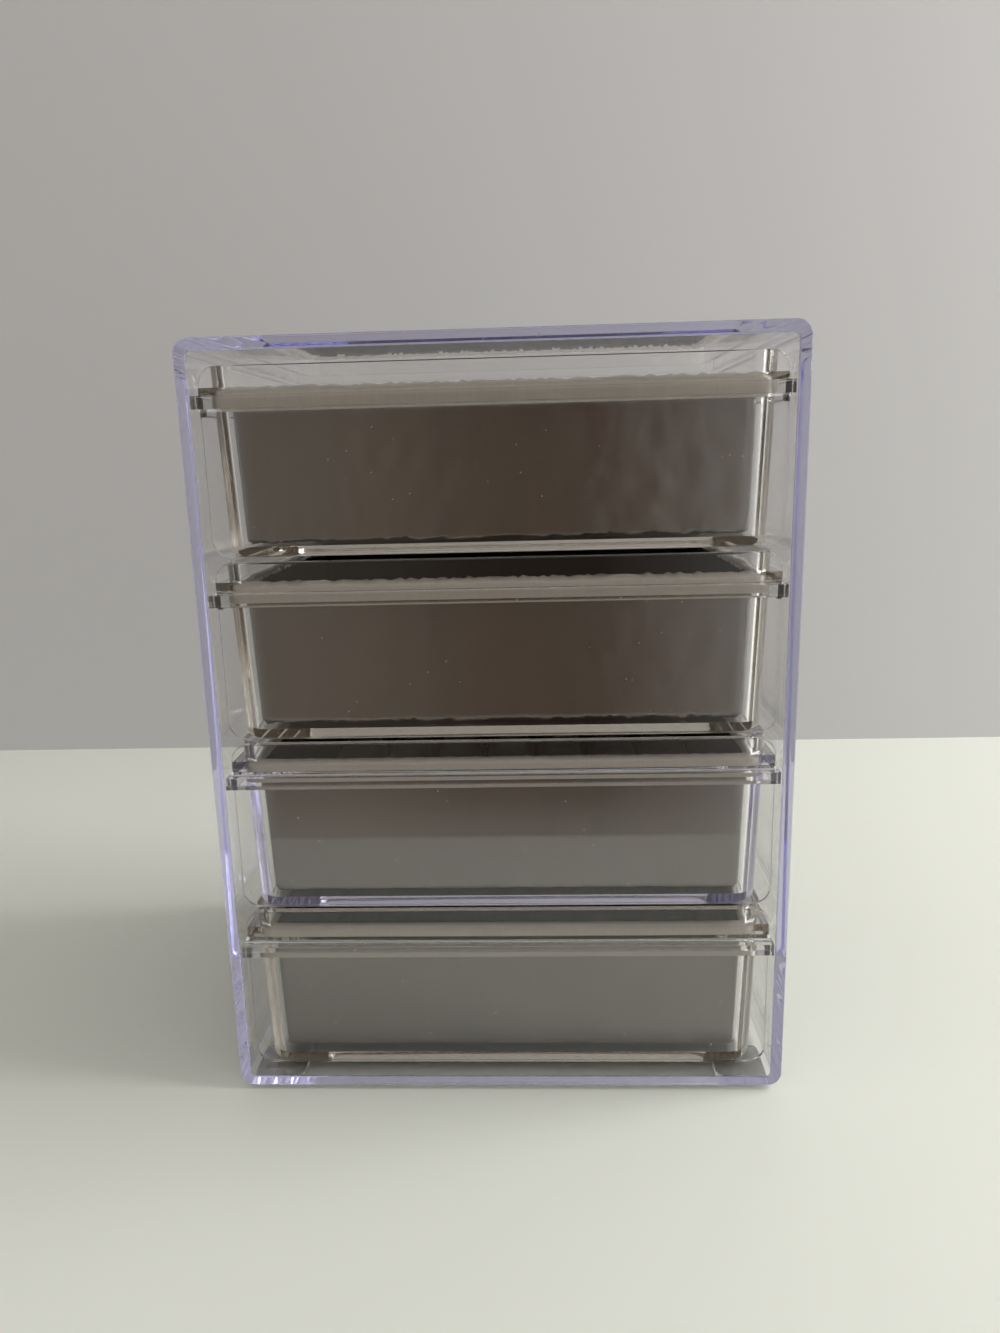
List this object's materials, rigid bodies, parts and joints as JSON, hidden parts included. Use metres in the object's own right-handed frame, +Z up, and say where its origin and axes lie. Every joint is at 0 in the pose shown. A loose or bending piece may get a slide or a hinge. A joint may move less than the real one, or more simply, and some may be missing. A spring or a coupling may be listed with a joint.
{
  "type": "clear drawer organizer",
  "caption": "Free-standing clear plastic case with pull-out drawers, each with a front plate, a slim pull ledge and an opaque insert tray for make-up or jewellery.",
  "frame": {"origin": "on the table under the middle of the case", "axes": "+Z up, the open front faces -Y, +X to the right seen from the front"},
  "size_m": [0.18, 0.14, 0.2417],
  "materials": {
    "clear_case": "clear moulded plastic with a faint violet tint, polished",
    "clear_runner": "clear plastic strip",
    "clear_pad": "clear soft pad",
    "clear_drawer": "clear moulded plastic, polished",
    "tinted_drawer": "clear moulded plastic with a stronger violet tint, polished",
    "insert_liner": "satin taupe outside, dark flocked inside",
    "roll_velvet": "short dark velvet pile"
  },
  "bodies": {
    "case": {"case_shell": "clear_case", "runner_left_1": "clear_runner", "runner_right_1": "clear_runner", "runner_left_2": "clear_runner", "runner_right_2": "clear_runner", "runner_left_3": "clear_runner", "runner_right_3": "clear_runner", "runner_left_4": "clear_runner", "runner_right_4": "clear_runner", "foot_front_left": "clear_pad", "foot_front_right": "clear_pad", "foot_back_left": "clear_pad", "foot_back_right": "clear_pad"},
    "drawer_1": {"drawer_tray_1": "clear_drawer", "insert_1": "insert_liner"},
    "drawer_2": {"drawer_tray_2": "clear_drawer", "insert_2": "insert_liner"},
    "drawer_3": {"drawer_tray_3": "tinted_drawer", "insert_3": "insert_liner", "ring_rolls": "roll_velvet"},
    "drawer_4": {"drawer_tray_4": "clear_drawer", "insert_4": "insert_liner"}
  },
  "joints": [
    {"name": "drawer_1_slide", "type": "slide", "parent": "case", "child": "drawer_1", "axis": [0, -1, 0], "range_m": [0, 0.1]},
    {"name": "drawer_2_slide", "type": "slide", "parent": "case", "child": "drawer_2", "axis": [0, -1, 0], "range_m": [0, 0.1]},
    {"name": "drawer_3_slide", "type": "slide", "parent": "case", "child": "drawer_3", "axis": [0, -1, 0], "range_m": [0, 0.1]},
    {"name": "drawer_4_slide", "type": "slide", "parent": "case", "child": "drawer_4", "axis": [0, -1, 0], "range_m": [0, 0.1]}
  ]
}
